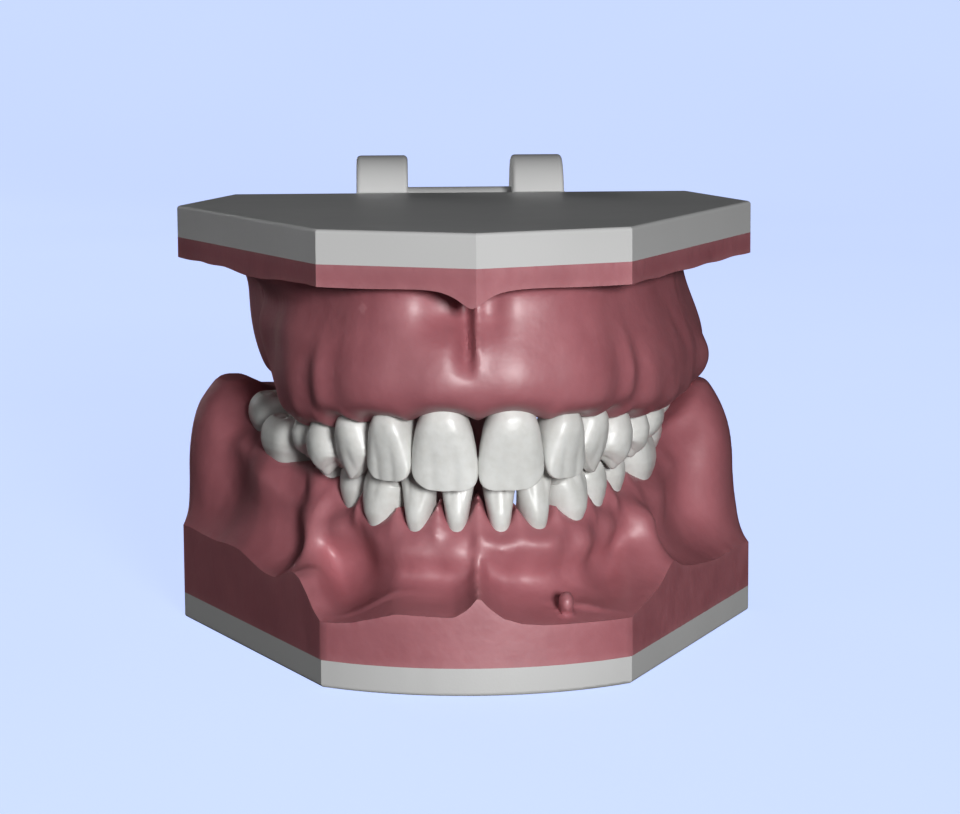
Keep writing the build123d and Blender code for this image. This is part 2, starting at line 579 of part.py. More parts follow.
# ---------------------------------------------------------------- files
os.makedirs("parts", exist_ok=True)
export_step(upper_plate.part, "parts/upper_plate.step")
export_step(lower_plate.part, "parts/lower_plate.step")
export_step(upper_gum.part, "parts/upper_gum.step")
export_step(lower_gum.part, "parts/lower_gum.step")
export_step(hinge_post.part, "parts/hinge_post.step")
export_step(hinge_bar.part, "parts/hinge_bar.step")
export_step(hinge_clip_left, "parts/hinge_clip_left.step")
export_step(hinge_clip_right, "parts/hinge_clip_right.step")
export_step(post_screws, "parts/post_screws.step")
export_step(clip_screws, "parts/clip_screws.step")
export_step(bar_screws, "parts/hinge_bar_screws.step")
for node in hidden:
    export_step(node, f"parts/{node.label}.step")
for tooth in teeth.values():
    export_step(tooth, f"parts/{tooth.label}.step")
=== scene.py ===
import json
from math import cos, pi, radians, sin
import bmesh
import bpy
import numpy as np
from mathutils import Matrix, Vector


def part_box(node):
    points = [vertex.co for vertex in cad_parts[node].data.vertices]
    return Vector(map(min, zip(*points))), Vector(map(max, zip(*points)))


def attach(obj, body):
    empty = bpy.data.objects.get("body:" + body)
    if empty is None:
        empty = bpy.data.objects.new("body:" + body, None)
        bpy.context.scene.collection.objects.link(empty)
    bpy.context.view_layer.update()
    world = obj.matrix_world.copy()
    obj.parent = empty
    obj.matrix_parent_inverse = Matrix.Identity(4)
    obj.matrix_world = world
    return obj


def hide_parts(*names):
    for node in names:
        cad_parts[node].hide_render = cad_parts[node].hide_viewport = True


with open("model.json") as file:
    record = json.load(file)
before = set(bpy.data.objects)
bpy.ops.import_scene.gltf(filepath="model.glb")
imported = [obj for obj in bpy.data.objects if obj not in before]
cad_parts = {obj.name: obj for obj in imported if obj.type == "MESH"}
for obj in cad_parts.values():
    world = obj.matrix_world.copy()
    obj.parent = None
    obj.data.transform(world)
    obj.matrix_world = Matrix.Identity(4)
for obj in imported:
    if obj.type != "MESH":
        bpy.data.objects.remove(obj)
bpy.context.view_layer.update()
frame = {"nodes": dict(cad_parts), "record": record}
MM = 0.001

# Teeth and gums are worked out in mm: x runs to the wearer's left, y to the back and z up.
# Materials, floor, lights and camera are in metres.
CLASSES = ["central_incisor", "lateral_incisor", "canine", "first_premolar",
           "second_premolar", "first_molar", "second_molar"]
PEG = 9.0  # length of each tooth's node below the gum line


# ------------------------------------------------------------------ small helpers
def smooth(x, low, high):
    """Rises gently from 0 at low to 1 at high."""
    t = np.clip((x - low) / (high - low), 0.0, 1.0)
    return t * t * (3 - 2 * t)


def soft_min(a, b, k):
    """The smaller of two distances, blended over k."""
    h = np.clip(0.5 + 0.5 * (b - a) / k, 0.0, 1.0)
    return b + (a - b) * h - k * h * (1 - h)


def soft_max(a, b, k):
    """The larger of two distances, blended over k."""
    return -soft_min(-a, -b, k)


def box_mm(node):
    """Lowest and highest corners of a node's box."""
    low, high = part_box(node)
    return np.array(low) / MM, np.array(high) / MM


def new_piece(name, verts, faces, body, mat):
    """Smooth mesh, given in metres, that rides on a body and takes its finish from a slot."""
    mesh = bpy.data.meshes.new(name)
    mesh.from_pydata([tuple(v) for v in verts], [], [tuple(f) for f in faces])
    mesh.update()
    obj = bpy.data.objects.new(name, mesh)
    bpy.context.scene.collection.objects.link(obj)
    mesh.materials.append(mat)
    mesh.shade_smooth()
    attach(obj, body)
    return obj


# ------------------------------------------------------------------ materials
def material(name):
    """New material with its node tree, its shader and the object's own coordinates."""
    mat = bpy.data.materials.new(name)
    mat.use_nodes = True
    tree = mat.node_tree
    shader = next(n for n in tree.nodes if n.type == "BSDF_PRINCIPLED")
    coords = tree.nodes.new("ShaderNodeTexCoord")
    return mat, tree, shader, coords.outputs["Object"]


def noise(tree, vector, scale, detail=3.0, rough=0.55):
    node = tree.nodes.new("ShaderNodeTexNoise")
    node.inputs["Scale"].default_value = scale
    node.inputs["Detail"].default_value = detail
    node.inputs["Roughness"].default_value = rough
    tree.links.new(vector, node.inputs["Vector"])
    return node.outputs["Fac"]


def ramp(tree, fac, stops):
    node = tree.nodes.new("ShaderNodeValToRGB")
    while len(node.color_ramp.elements) < len(stops):
        node.color_ramp.elements.new(0.5)
    for element, (pos, color) in zip(node.color_ramp.elements, stops):
        element.position = pos
        element.color = (*color, 1.0)
    tree.links.new(fac, node.inputs["Fac"])
    return node.outputs["Color"]


def mix(tree, fac, a, b, blend="MIX"):
    node = tree.nodes.new("ShaderNodeMix")
    node.data_type = "RGBA"
    node.blend_type = blend
    for socket, value in ((node.inputs["Factor"], fac), (node.inputs[6], a), (node.inputs[7], b)):
        if isinstance(value, (int, float)):
            socket.default_value = value
        elif isinstance(value, tuple):
            socket.default_value = (*value, 1.0)
        else:
            tree.links.new(value, socket)
    return node.outputs[2]


def remap(tree, value, low, high):
    """Stretches a value from 0 to 1 over low to high."""
    node = tree.nodes.new("ShaderNodeMapRange")
    node.inputs["To Min"].default_value = low
    node.inputs["To Max"].default_value = high
    tree.links.new(value, node.inputs["Value"])
    return node.outputs["Result"]


def bump(tree, shader, heights):
    """Chains bumps: (height socket, strength, distance in metres)."""
    normal = None
    for height, strength, distance in heights:
        node = tree.nodes.new("ShaderNodeBump")
        node.inputs["Strength"].default_value = strength
        node.inputs["Distance"].default_value = distance
        tree.links.new(height, node.inputs["Height"])
        if normal:
            tree.links.new(normal, node.inputs["Normal"])
        normal = node.outputs["Normal"]
    tree.links.new(normal, shader.inputs["Normal"])


def pointiness(tree, low=0.52, high=0.62):
    """Goes from 0 to 1 as the surface goes from low to high pointiness: edges are high."""
    geo = tree.nodes.new("ShaderNodeNewGeometry")
    node = tree.nodes.new("ShaderNodeMapRange")
    node.inputs["From Min"].default_value = low
    node.inputs["From Max"].default_value = high
    tree.links.new(geo.outputs["Pointiness"], node.inputs["Value"])
    return node.outputs["Result"]


def gum_material():
    """Pink acrylic: cloudy and mottled, paler on its ridges, with a soft broad shine."""
    mat, tree, shader, at = material("pink_gum_acrylic")
    cloud = noise(tree, at, 55, 3)
    mottle = noise(tree, at, 260, 4)
    base = ramp(tree, cloud, [(0.30, (0.365, 0.135, 0.156)), (0.52, (0.405, 0.153, 0.175)),
                              (0.75, (0.445, 0.174, 0.197))])
    deep = ramp(tree, mottle, [(0.35, (0.80, 0.72, 0.74)), (0.65, (1.0, 1.0, 1.0))])
    color = mix(tree, 0.35, base, deep, "MULTIPLY")
    pale = pointiness(tree, 0.50, 0.60)
    color = mix(tree, pale, color, mix(tree, 0.16, color, (0.72, 0.42, 0.43)))
    tree.links.new(color, shader.inputs["Base Color"])
    tree.links.new(remap(tree, mottle, 0.46, 0.58), shader.inputs["Roughness"])
    shader.inputs["Subsurface Weight"].default_value = 0.06
    shader.inputs["Subsurface Radius"].default_value = (0.0022, 0.0008, 0.0006)
    shader.inputs["Subsurface Scale"].default_value = 1.0
    shader.inputs["Specular IOR Level"].default_value = 0.75
    shader.inputs["Coat Weight"].default_value = 0.36
    shader.inputs["Coat Roughness"].default_value = 0.39
    stipple = noise(tree, at, 1500, 2)
    lumps = noise(tree, at, 190, 3)
    bump(tree, shader, [(lumps, 0.35, 0.0006), (stipple, 0.10, 0.00012)])
    return mat


def tooth_material():
    """Off-white acrylic with painted shade in its grooves, darker and warmer there, and a finely
    rippled surface.
    """
    mat, tree, shader, at = material("tooth_enamel_acrylic")
    cloud = noise(tree, at, 150, 3)
    fine = noise(tree, at, 900, 3)
    base = ramp(tree, cloud, [(0.30, (0.60, 0.605, 0.585)), (0.55, (0.67, 0.675, 0.655)),
                              (0.80, (0.73, 0.735, 0.72))])
    shade = ramp(tree, fine, [(0.30, (0.90, 0.89, 0.87)), (0.60, (1.0, 1.0, 1.0))])
    color = mix(tree, 0.5, base, shade, "MULTIPLY")
    # painted shade: the hollow grooves are darkened towards a warm brown
    groove = pointiness(tree, 0.49, 0.42)
    color = mix(tree, groove, color, mix(tree, 0.45, color, (0.30, 0.26, 0.21)))
    tree.links.new(color, shader.inputs["Base Color"])
    tree.links.new(remap(tree, fine, 0.32, 0.46), shader.inputs["Roughness"])
    shader.inputs["Subsurface Weight"].default_value = 0.03
    shader.inputs["Subsurface Radius"].default_value = (0.0012, 0.0010, 0.0008)
    shader.inputs["Subsurface Scale"].default_value = 1.0
    shader.inputs["Coat Weight"].default_value = 0.12
    shader.inputs["Coat Roughness"].default_value = 0.26
    ripple = noise(tree, at, 420, 2)
    bump(tree, shader, [(ripple, 0.30, 0.00035), (fine, 0.12, 0.00008)])
    return mat


def plastic_material(name, dark, light, rough):
    """Moulded plastic with a fine grain, light scuffs and worn edges."""
    mat, tree, shader, at = material(name)
    cloud = noise(tree, at, 28, 2)
    fine = noise(tree, at, 2600, 2)
    base = ramp(tree, cloud, [(0.30, dark), (0.70, light)])
    wear = pointiness(tree)
    color = mix(tree, wear, base, mix(tree, 0.35, base, (0.62, 0.62, 0.62)))
    tree.links.new(color, shader.inputs["Base Color"])
    scuff = noise(tree, at, 90, 5, 0.7)
    tree.links.new(remap(tree, scuff, rough - 0.09, rough + 0.10), shader.inputs["Roughness"])
    bump(tree, shader, [(fine, 0.16, 0.00006), (scuff, 0.05, 0.00010)])
    return mat


def metal_material(name, color, rough, scale=700):
    """Brushed or turned metal."""
    mat, tree, shader, at = material(name)
    stretch = tree.nodes.new("ShaderNodeMapping")
    stretch.inputs["Scale"].default_value = (0.08, 1.0, 1.0)
    tree.links.new(at, stretch.inputs["Vector"])
    line = noise(tree, stretch.outputs["Vector"], scale, 3)
    dark = tuple(0.72 * c for c in color)
    tree.links.new(ramp(tree, line, [(0.30, dark), (0.70, color)]), shader.inputs["Base Color"])
    shader.inputs["Metallic"].default_value = 1.0
    tree.links.new(remap(tree, line, rough - 0.08, rough + 0.10), shader.inputs["Roughness"])
    bump(tree, shader, [(line, 0.15, 0.00004)])
    return mat


GUM = gum_material()
TOOTH = tooth_material()
PLATE = plastic_material("grey_plate_plastic", (0.50, 0.50, 0.495), (0.555, 0.555, 0.55), 0.42)
HINGE = plastic_material("grey_hinge_plastic", (0.58, 0.58, 0.575), (0.64, 0.64, 0.635), 0.38)
STEEL = metal_material("screw_steel", (0.66, 0.66, 0.67), 0.28)
KEEPER = metal_material("keeper_steel", (0.50, 0.50, 0.52), 0.40)
NICKEL = metal_material("magnet_nickel", (0.74, 0.72, 0.68), 0.16, 300)
BRASS = metal_material("dowel_brass", (0.80, 0.60, 0.28), 0.30)
FINISH = {"plate_plastic": PLATE, "hinge_plastic": HINGE, "screw_steel": STEEL,
          "keeper_steel": KEEPER, "magnet_nickel": NICKEL, "dowel_brass": BRASS,
          "gum_acrylic": GUM, "tooth_acrylic": TOOTH}

for entry in frame["record"]["subparts"]:
    node = frame["nodes"][entry["node"]]
    mat = FINISH[entry["material_slot"]]
    if node.data.materials:
        for i in range(len(node.data.materials)):
            node.data.materials[i] = mat
    else:
        node.data.materials.append(mat)


# ------------------------------------------------------------------ tooth places, from the CAD
class Tooth:
    """Where a tooth stands, taken from its node's box."""

    def __init__(self, jaw, side, index):
        self.jaw, self.side, self.index = jaw, side, index
        self.name = f"{jaw}_{side}_{CLASSES[index]}"
        low, high = box_mm(self.name)
        self.up = -1.0 if jaw == "upper" else 1.0       # from the neck towards the tip
        self.center = (low[:2] + high[:2]) / 2
        self.tip = low[2] if jaw == "upper" else high[2]
        root = high[2] if jaw == "upper" else low[2]
        self.neck = root + self.up * PEG


TEETH = {(jaw, side, index): Tooth(jaw, side, index) for jaw in ("upper", "lower")
         for side in ("left", "right") for index in range(len(CLASSES))}


def jaw_row(jaw):
    """The jaw's teeth from the wearer's right second molar round to the left one."""
    quadrant = range(len(CLASSES))
    return [TEETH[jaw, "right", i] for i in reversed(quadrant)] + \
           [TEETH[jaw, "left", i] for i in quadrant]


for jaw in ("upper", "lower"):
    row = jaw_row(jaw)
    for n, tooth in enumerate(row):
        before = row[max(n - 1, 0)].center
        after = row[min(n + 1, len(row) - 1)].center
        run = (after - before) / np.linalg.norm(after - before)
        tooth.run = run                                  # towards the wearer's left
        tooth.out = np.array([run[1], -run[0]])          # out of the mouth
        if tooth.index > CLASSES.index("canine"):        # a side tooth faces its own cheek
            lean = np.array([np.sign(tooth.center[0]), 0.0])
            tooth.out = tooth.out if tooth.out @ lean > 0 else -tooth.out


# ------------------------------------------------------------------ teeth
# rings from below the neck to the tip: share of the crown's height, then shares of its width
# and depth, and how far the ring stands outward as a share of the depth
OUTLINES = {
    "incisor": [(-0.22, 0.52, 0.70, -0.03), (0.0, 0.64, 0.90, 0.0), (0.10, 0.74, 0.97, 0.02),
                (0.25, 0.86, 0.95, 0.04), (0.45, 0.95, 0.78, 0.08), (0.65, 0.995, 0.58, 0.13),
                (0.82, 1.0, 0.41, 0.19), (0.93, 0.97, 0.30, 0.23), (1.0, 0.89, 0.22, 0.26)],
    "narrow": [(-0.22, 0.46, 0.70, -0.03), (0.0, 0.54, 0.90, 0.0), (0.10, 0.60, 0.97, 0.02),
               (0.25, 0.68, 0.95, 0.03), (0.45, 0.79, 0.80, 0.06), (0.65, 0.89, 0.60, 0.10),
               (0.82, 0.97, 0.43, 0.14), (0.93, 1.0, 0.30, 0.17), (1.0, 0.96, 0.22, 0.19)],
    "canine": [(-0.22, 0.62, 0.72, 0.0), (0.0, 0.70, 0.90, 0.0), (0.12, 0.80, 0.99, 0.02),
               (0.30, 0.93, 0.98, 0.03), (0.50, 1.0, 0.84, 0.06), (0.68, 1.0, 0.66, 0.10),
               (0.82, 0.96, 0.50, 0.13), (0.93, 0.90, 0.35, 0.15), (1.0, 0.82, 0.24, 0.16)],
    "premolar": [(-0.22, 0.66, 0.76, 0.0), (0.0, 0.72, 0.86, 0.0), (0.14, 0.84, 0.95, 0.0),
                 (0.32, 0.95, 1.0, 0.01), (0.52, 1.0, 0.98, 0.01), (0.70, 0.98, 0.92, 0.01),
                 (0.84, 0.94, 0.82, 0.01), (0.94, 0.87, 0.70, 0.0), (1.0, 0.78, 0.60, 0.0)],
    "molar": [(-0.22, 0.76, 0.80, 0.0), (0.0, 0.84, 0.88, 0.0), (0.14, 0.92, 0.96, 0.0),
              (0.32, 0.98, 1.0, 0.0), (0.52, 1.0, 0.98, 0.0), (0.70, 0.985, 0.92, 0.0),
              (0.84, 0.95, 0.84, 0.0), (0.94, 0.88, 0.75, 0.0), (1.0, 0.79, 0.66, 0.0)],
}
# squareness of the outline seen from above: 2 is an ellipse
CORNER = {"incisor": 2.5, "canine": 2.2, "premolar": 2.25, "molar": 2.9}
# each cusp: place along the arch (towards the midline) and outward, and drop below the tip
CUSPS = {
    ("premolar", "upper"): [(0.0, 0.56, 0.0), (0.0, -0.58, 0.5)],
    ("premolar", "lower"): [(0.0, 0.50, 0.0), (0.18, -0.62, 0.9)],
    ("molar", "upper"): [(0.46, 0.62, 0.1), (-0.50, 0.60, 0.3), (0.40, -0.60, 0.0),
                         (-0.58, -0.62, 0.7)],
    ("molar", "lower"): [(0.50, 0.60, 0.2), (-0.10, 0.66, 0.3), (-0.66, 0.42, 0.7),
                         (0.48, -0.62, 0.0), (-0.42, -0.64, 0.15)],
}
FOSSA = {"premolar": 1.7, "molar": 1.6}             # depth between the cusps
SPREAD = {"premolar": (0.42 * 1.5, 0.42), "molar": (0.36, 0.36)}    # of a cusp, along and out
AROUND = 48                                         # points in a ring
LEVELS, BURIED = 26, 3                              # rings up the side, those below the neck
FOOT = 0.4                                          # the foot point's depth below them
CAP = (0.93, 0.82, 0.68, 0.54, 0.40, 0.26, 0.13)    # rings across the biting surface


def biting_height(kind, jaw, u, v, mesial):
    """How far the biting surface stands below the tip, in mm; u along the arch and v outward,
    both from -1 to 1, and mesial is +1 or -1 for the side nearest the midline."""
    if kind == "incisor":
        lobes = 0.03 * np.cos(3.0 * pi * u * 0.95)
        corner = 0.60 * np.abs(u) ** 5 + 0.80 * smooth(-u * mesial, 0.30, 1.15)
        return 0.12 - lobes + corner + 0.5 * smooth(-v, 0.2, 1.2)
    if kind == "canine":
        return 0.10 + 2.9 * np.abs(u + 0.10 * mesial) ** 1.35 + 0.4 * smooth(-v, 0.1, 1.0)
    fossa = FOSSA[kind]
    along, outward = SPREAD[kind]
    cusps = np.zeros_like(u)
    for cusp_u, cusp_v, drop in CUSPS[kind, jaw]:
        d2 = ((u - cusp_u * mesial) / along) ** 2
        d2 = d2 + ((v - cusp_v) / outward) ** 2
        cusps = np.maximum(cusps, (fossa - drop) * np.exp(-0.75 * d2))
    edge = smooth(u * u + v * v, 0.45, 1.0)
    rim = 0.9 * edge
    groove = 0.35 * np.exp(-(v / 0.07) ** 2) * (1 - edge)
    point = 2.0 * np.abs(u) ** 1.4 * smooth(v, -0.2, 0.6) if kind == "premolar" else 0.0
    return fossa - np.maximum(cusps, rim) + groove + point


def side_ring(tooth, kind, t, cu, cv, mesial):
    """Ring of the crown's side at a share t of its height: along the arch, outward and up."""
    stops = np.array(OUTLINES["narrow" if kind == "incisor" and tooth.jaw == "lower" else kind])
    w, d, shift = (np.interp(t, stops[:, 0], stops[:, k]) for k in (1, 2, 3))
    size_u, size_v = SIZES[tooth.name]
    u = cu * w * size_u / 2
    v = cv * d * size_v / 2
    # the crown leans to its mesial side and its neck is narrower on the inner side
    u = u + 0.03 * size_u * mesial * (smooth(t, 0.0, 1.0) - 0.7)
    inner = np.clip(-cv, 0, 1)
    u = u * (1 - 0.14 * inner * (1 - smooth(t, 0.6, 1.0)))
    if kind in ("incisor", "canine"):
        # two shallow grooves on the outer face, and a hollow above a swelling on the inner face
        face = np.clip(cv, 0, 1)
        dent = np.exp(-((cu * w - 0.32) / 0.13) ** 2) + np.exp(-((cu * w + 0.32) / 0.13) ** 2)
        v = v - 0.20 * dent * face * smooth(t, 0.15, 0.8)
        v = v - 0.55 * np.exp(-((t - 0.18) / 0.16) ** 2) * inner
        v = v + 0.9 * np.exp(-((t - 0.58) / 0.20) ** 2) * inner ** 2 * np.exp(-(cu / 0.6) ** 2)
    else:
        # a groove down the middle of a molar's faces, or a ridge on a premolar's
        v = v - 0.30 * np.exp(-(cu / 0.16) ** 2) * np.abs(cv) ** 3 * smooth(t, 0.45, 1.0) * \
            (1.0 if kind == "molar" else -0.6)
    v = v + shift * size_v
    height = abs(tooth.tip - tooth.neck)
    drop = biting_height(kind, tooth.jaw, cu, cv, mesial) * smooth(t, 0.35, 1.0)
    return np.stack([u, v, t * height - drop * max(t, 0)], axis=1)


def cap_ring(tooth, kind, rim, r, cu, cv, mesial):
    """Ring of the biting surface at a share r of the way out to the side's last ring, rim."""
    height = abs(tooth.tip - tooth.neck)
    center_u, center_v = rim[:, 0].mean(), rim[:, 1].mean()
    u = center_u + (rim[:, 0] - center_u) * r
    v = center_v + (rim[:, 1] - center_v) * r
    z = height - biting_height(kind, tooth.jaw, cu * r, cv * r, mesial)
    edge = height - biting_height(kind, tooth.jaw, cu, cv, mesial)
    # the surface meets the rim smoothly
    blend = smooth(np.full_like(z, r), 0.6, 1.0)
    z = z * (1 - blend) + (z + (rim[:, 2] - edge) * blend) * blend
    return np.stack([u, v, z], axis=1)


def ring_faces(count):
    """Quads between rings in turn, and a fan to the tip point and to the foot point."""
    faces = []
    for k in range(count - 1):
        for n in range(AROUND):
            m = (n + 1) % AROUND
            faces.append((k * AROUND + n, k * AROUND + m, (k + 1) * AROUND + m,
                          (k + 1) * AROUND + n))
    tip, foot = count * AROUND, count * AROUND + 1
    for n in range(AROUND):
        m = (n + 1) % AROUND
        faces.append(((count - 1) * AROUND + n, (count - 1) * AROUND + m, tip))
        faces.append((m, n, foot))
    return faces


def make_tooth(tooth):
    """Closed crown that stands in for its node and fills the part of its box off the gum."""
    kind = CLASSES[tooth.index].split("_")[-1]
    theta = np.linspace(0, 2 * pi, AROUND, endpoint=False)
    cos_t, sin_t = np.cos(theta), np.sin(theta)
    cu = np.sign(cos_t) * np.abs(cos_t) ** (2 / CORNER[kind])
    cv = np.sign(sin_t) * np.abs(sin_t) ** (2 / CORNER[kind])
    mesial = -1.0 if tooth.side == "left" else 1.0
    below = OUTLINES[kind][0][0]
    shares = np.concatenate([np.linspace(below, 0.0, BURIED + 1)[:-1],
                             np.linspace(0, 1, LEVELS - BURIED)])
    rings = [side_ring(tooth, kind, t, cu, cv, mesial) for t in shares]
    rim = rings[-1]
    rings += [cap_ring(tooth, kind, rim, r, cu, cv, mesial) for r in CAP]
    tip_point = rings[-1].mean(axis=0)
    foot_point = rings[0].mean(axis=0) - [0.0, 0.0, FOOT]
    local = np.concatenate([*rings, [tip_point, foot_point]])
    # fit the crown into its node's box
    height = abs(tooth.tip - tooth.neck)
    flat = local[:, :1] * tooth.run + local[:, 1:2] * tooth.out
    flat = flat - (flat.min(axis=0) + flat.max(axis=0)) / 2 + tooth.center
    top = local[:, 2].max()
    z = tooth.neck + tooth.up * (local[:, 2] + (height - top) * np.clip(local[:, 2] / top, 0, 1))
    obj = new_piece(tooth.name + "_crown", np.column_stack([flat, z]) * MM,
                    ring_faces(len(rings)), f"{tooth.jaw}_jaw", TOOTH)
    work = bmesh.new()
    work.from_mesh(obj.data)
    bmesh.ops.recalc_face_normals(work, faces=work.faces)
    work.to_mesh(obj.data)
    work.free()
    rounder = obj.modifiers.new("round", "SUBSURF")
    rounder.levels = rounder.render_levels = 1
    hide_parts(tooth.name)


# width along the arch and depth across it of each crown, from the midline back
UPPER_WIDE = [(8.95, 6.7), (7.0, 6.1), (7.2, 7.7), (7.2, 8.0), (6.9, 8.0), (10.2, 9.7), (9.7, 9.5)]
LOWER_WIDE = [(4.95, 5.5), (5.5, 5.7), (6.4, 6.9), (6.8, 7.1), (7.0, 7.5), (10.7, 9.6), (10.4, 9.2)]
SIZES = {tooth.name: (UPPER_WIDE if tooth.jaw == "upper" else LOWER_WIDE)[tooth.index]
         for tooth in TEETH.values()}
for tooth in TEETH.values():
    make_tooth(tooth)


# ------------------------------------------------------------------ gum surfaces
STEP = 0.5       # spacing of the gum grids
SPACING = 0.3                           # of the points along an arch line
ROUNDING = 120                          # passes that take small bends out of an arch line
BATCH = 4000                            # points handled at a time, to save memory
# shares of a grid step within which a point belongs to a trimmed face, to a second one as well,
# and to the edge where a trimmed face meets the free surface
ON_FACE, ON_SECOND, ON_EDGE = 0.8, 1.1, 0.7
EVEN_PASSES, EVEN_SHARE = 3, 0.45       # of evening out the free surface
EDGE_PASSES = 14                        # of settling the edge points
FLATTEST = 0.2                          # squared slope below which a point's move is held back
WELD, SLIVER = 0.08, 0.04               # lengths, in grid steps, merged and dissolved
CREASE = radians(38)                    # sharper edges stay crisp
ROOT_SWELL = [0.22, 0.16, 0.50, 0.28, 0.20, 0.22, 0.15]     # of the wall over each root


def arch_curve(points):
    """Rounded Catmull-Rom line through the points, and the length run at each of its points."""
    p = np.array(points)
    p = np.vstack([2 * p[0] - p[1], p, 2 * p[-1] - p[-2]])
    line = []
    for k in range(1, len(p) - 2):
        n = max(int(np.linalg.norm(p[k + 1] - p[k]) / SPACING), 2)
        t = np.linspace(0, 1, n, endpoint=False)[:, None]
        a, b, c, d = p[k - 1], p[k], p[k + 1], p[k + 2]
        line.append(0.5 * (2 * b + (c - a) * t + (2 * a - 5 * b + 4 * c - d) * t ** 2 +
                           (3 * b - a - 3 * c + d) * t ** 3))
    line.append(p[-2][None, :])
    line = np.vstack(line)
    for _ in range(ROUNDING):
        line[1:-1] = 0.25 * line[:-2] + 0.5 * line[1:-1] + 0.25 * line[2:]
    length = np.concatenate([[0], np.cumsum(np.linalg.norm(np.diff(line, axis=0), axis=1))])
    return line, length


def arch_coordinates(line, length, px, py):
    """Station along the arch and signed distance out of the mouth for each point."""
    flat = np.column_stack([px.ravel(), py.ravel()])
    station = np.zeros(len(flat))
    distance = np.zeros(len(flat))
    tangent = np.gradient(line, axis=0)
    tangent /= np.linalg.norm(tangent, axis=1)[:, None]
    for start in range(0, len(flat), BATCH):
        batch = slice(start, start + BATCH)
        part = flat[batch]
        gap = part[:, None, :] - line[None, :, :]
        near = (gap ** 2).sum(axis=2).argmin(axis=1)
        off = part - line[near]
        t = tangent[near]
        station[batch] = length[near] + (off * t).sum(axis=1)
        distance[batch] = off[:, 0] * t[:, 1] - off[:, 1] * t[:, 0]
    return station.reshape(px.shape), distance.reshape(px.shape)


def surface_net(field, origin):
    """Quad surface where the field crosses zero, one vertex in each crossed grid cell."""
    inside = field < 0
    shape = np.array(field.shape) - 1
    total = np.zeros((*shape, 3))
    hits = np.zeros(shape)
    corner = [(0, 0, 0), (1, 0, 0), (0, 1, 0), (1, 1, 0), (0, 0, 1), (1, 0, 1), (0, 1, 1),
              (1, 1, 1)]

    def window(array, c):
        return array[c[0]:c[0] + shape[0], c[1]:c[1] + shape[1], c[2]:c[2] + shape[2]]

    for i, a in enumerate(corner):
        for b in corner[i + 1:]:
            if sum(abs(x - y) for x, y in zip(a, b)) != 1:
                continue
            crossed = window(inside, a) != window(inside, b)
            fa, fb = window(field, a)[crossed], window(field, b)[crossed]
            t = (fa / (fa - fb))[:, None]
            total[crossed] += np.array(a) + t * (np.array(b) - np.array(a))
            hits[crossed] += 1
    active = hits > 0
    index = np.full(shape, -1)
    index[active] = np.arange(active.sum())
    cells = np.argwhere(active)
    verts = (cells + total[active] / hits[active][:, None]) * STEP + origin
    faces = []
    for axis in range(3):
        u, v = (axis + 1) % 3, (axis + 2) % 3
        low = [slice(1, n) for n in shape]
        low[axis] = slice(0, shape[axis])
        high = list(low)
        high[axis] = slice(1, shape[axis] + 1)
        a, b = inside[tuple(low)], inside[tuple(high)]
        crossed = np.argwhere(a != b)
        offset = np.array([1, 1, 1])
        offset[axis] = 0
        cell = crossed + offset
        forward = a[a != b]
        eu, ev = np.zeros(3, int), np.zeros(3, int)
        eu[u], ev[v] = 1, 1
        quad = [index[tuple((cell - s * eu - r * ev).T)]
                for s, r in ((0, 0), (1, 0), (1, 1), (0, 1))]
        quad = np.column_stack(quad)
        quad[~forward] = quad[~forward][:, ::-1]
        faces.append(quad)
    return verts, np.vstack(faces)


def grid(low, high):
    """Origin and axes of a grid that reaches two steps past a box."""
    low, high = np.array(low) - 2 * STEP, np.array(high) + 2 * STEP
    n = np.ceil((high - low) / STEP).astype(int) + 1
    return low, [low[k] + STEP * np.arange(n[k]) for k in range(3)]


class Ridge:
    """One jaw's arch as its gum sees it. place() fills in, for each point of one level: the
    station s, the distance d out of the mouth, the phase from 0 at a tooth's middle to 1 between
    teeth, and shares of front or side, left or right, and back, which is behind the teeth."""

    def __init__(self, jaw, back_right, back_left):
        row = jaw_row(jaw)
        centers = [t.center - 0.10 * SIZES[t.name][1] * t.out for t in row]
        self.line, self.length = arch_curve([*back_right, *centers, *back_left])
        nearest = [((self.line - c) ** 2).sum(axis=1).argmin() for c in centers]
        self.at = self.length[nearest]
        self.neck = np.array([t.neck for t in row])
        self.half = np.array([SIZES[t.name][0] / 2 for t in row])
        self.depth = np.array([SIZES[t.name][1] / 2 for t in row])
        self.bulge = np.array([ROOT_SWELL[t.index] for t in row])

    def place(self, px, py):
        self.s, self.d = arch_coordinates(self.line, self.length, px, py)
        gap = np.abs(self.s[..., None] - self.at) / self.half
        first, last = self.at[0] - self.half[0], self.at[-1] + self.half[-1]
        behind = np.maximum(first - self.s, self.s - last)
        self.phase = np.where(behind > 0, 1.0, np.clip(gap.min(axis=-1), 0, 1))
        self.back = smooth(behind, 0.0, 10.0)
        self.neck_at = np.interp(self.s, self.at, self.neck)
        self.depth_at = np.interp(self.s, self.at, self.depth)
        self.swell = np.interp(self.s, self.at, self.bulge)
        first_left = len(CLASSES)
        middle = (self.at[first_left - 1] + self.at[first_left]) / 2
        self.front = 1 - smooth(np.abs(self.s - middle), 14.0, 34.0)
        self.side = 1 - self.front
        self.left = smooth(px, -6, 6)
        self.right = 1 - self.left

    def collar(self, h):
        """Reach of the wall at the teeth: scalloped at the margin, even further away."""
        away = smooth(h, 0.5, 4.5)
        scallop = 0.20 * self.phase ** 2 * (1 - away) + 0.07 * away
        return self.depth_at * (1.0 - scallop) + 0.15


